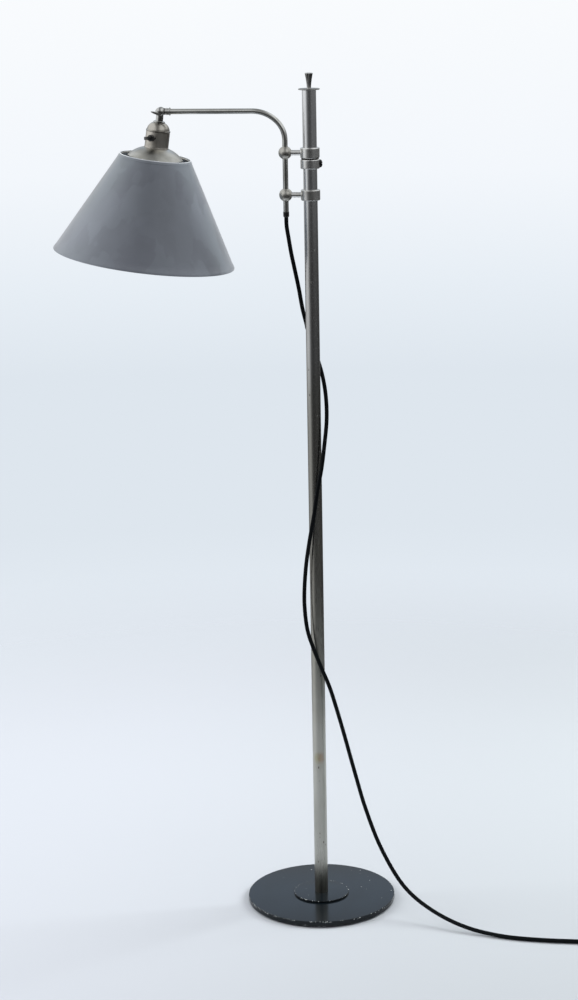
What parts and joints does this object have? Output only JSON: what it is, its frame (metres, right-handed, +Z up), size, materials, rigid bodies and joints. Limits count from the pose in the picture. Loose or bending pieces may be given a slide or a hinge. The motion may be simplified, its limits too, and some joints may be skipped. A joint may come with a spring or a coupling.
{
  "type": "bridge floor lamp",
  "caption": "Bridge floor lamp: round base, slim pole, bent arm that slides and swings on the pole, and a conical shade on a friction knuckle, with cord and plug.",
  "frame": {"origin": "centre of the felt on the underside of the base, on the pole's axis", "axes": "+Z up along the pole, -X the way the arm reaches, -Y the side that faces the viewer"},
  "size_m": [0.9777, 0.291, 1.3771],
  "materials": {
    "enamel": "dark semi-gloss enamel, chipped at the edges",
    "felt": "dark wool felt",
    "steel": "plain turned steel",
    "nickel": "satin nickel, slightly tarnished",
    "black_steel": "blackened steel",
    "fibre": "dark pressed fibre",
    "lead": "insulated lead",
    "black_plastic": "black phenolic",
    "brass": "plain brass",
    "wire": "drawn wire",
    "shade": "matte grey laminated card, faintly mottled",
    "bulb_metal": "plain aluminium",
    "glass": "frosted white glass",
    "cord": "matte black flexible sheath",
    "pin_metal": "nickel-plated brass"
  },
  "bodies": {
    "root": {"base_plate": "enamel", "boss_disc": "enamel", "felt_pad": "felt", "pole_spigot": "steel", "base_screw": "steel", "pole": "nickel", "pole_top_plug": "steel", "cap_disc": "nickel", "finial": "nickel", "cord_lower": "cord", "cord_coil": "cord", "plug_relief": "cord", "plug_body": "black_plastic", "plug_pins": "pin_metal"},
    "collar": {"stop_collar": "nickel", "fibre_washer": "fibre"},
    "stop_screw": {"stop_screw": "black_steel"},
    "arm": {"ring_upper": "nickel", "ring_lower": "nickel", "stub_upper": "nickel", "stub_lower": "nickel", "ball_upper": "nickel", "ball_lower": "nickel", "grub_screws": "black_steel", "arm_tube": "nickel", "arm_leads": "lead", "cord_bushing": "black_plastic", "knuckle_arm_half": "nickel", "friction_washer": "fibre", "cord_upper": "cord"},
    "lever": {"clamp_lever_screw": "nickel"},
    "head": {"knuckle_head_half": "nickel", "nipple_nut": "brass", "holder_cap": "nickel", "holder_shell": "nickel", "holder_core": "black_plastic", "contact_shell": "brass", "centre_contact": "brass", "switch_bush": "black_plastic", "dome_fitter": "nickel", "shade_ring_nut": "black_plastic", "shade_carrier": "wire", "shade_low_ring": "wire", "shade": "shade", "bulb_cap": "bulb_metal", "bulb_glass": "glass"},
    "key": {"switch_key": "black_plastic"}
  },
  "joints": [
    {"name": "arm_height", "type": "slide", "parent": "root", "child": "collar", "axis": [0, 0, 1], "range_m": [-0.55, 0.085], "deforming": ["cord_lower", "cord_upper"]},
    {"name": "stop_screw_turn", "type": "hinge", "parent": "collar", "child": "stop_screw", "pos_m": [0.01428, 0.0052, 1.2364], "axis": [0.9397, 0.342, 0], "range_deg": [0, 300]},
    {"name": "arm_swing", "type": "hinge", "parent": "collar", "child": "arm", "pos_m": [0, 0, 1.25375], "axis": [0, 0, 1], "range_deg": [-150, 150], "deforming": ["cord_upper"]},
    {"name": "clamp_lever_turn", "type": "hinge", "parent": "arm", "child": "lever", "pos_m": [-0.237, -0.006, 1.31865], "axis": [0, 1, 0], "range_deg": [-60, 90]},
    {"name": "shade_tilt", "type": "hinge", "parent": "arm", "child": "head", "pos_m": [-0.237, 0, 1.31865], "axis": [0, 1, 0], "range_deg": [-20, 80]},
    {"name": "key_turn", "type": "hinge", "parent": "head", "child": "key", "pos_m": [-0.24974, -0.02121, 1.27907], "axis": [-0.3058, -0.9511, 0.0446], "continuous": true}
  ]
}
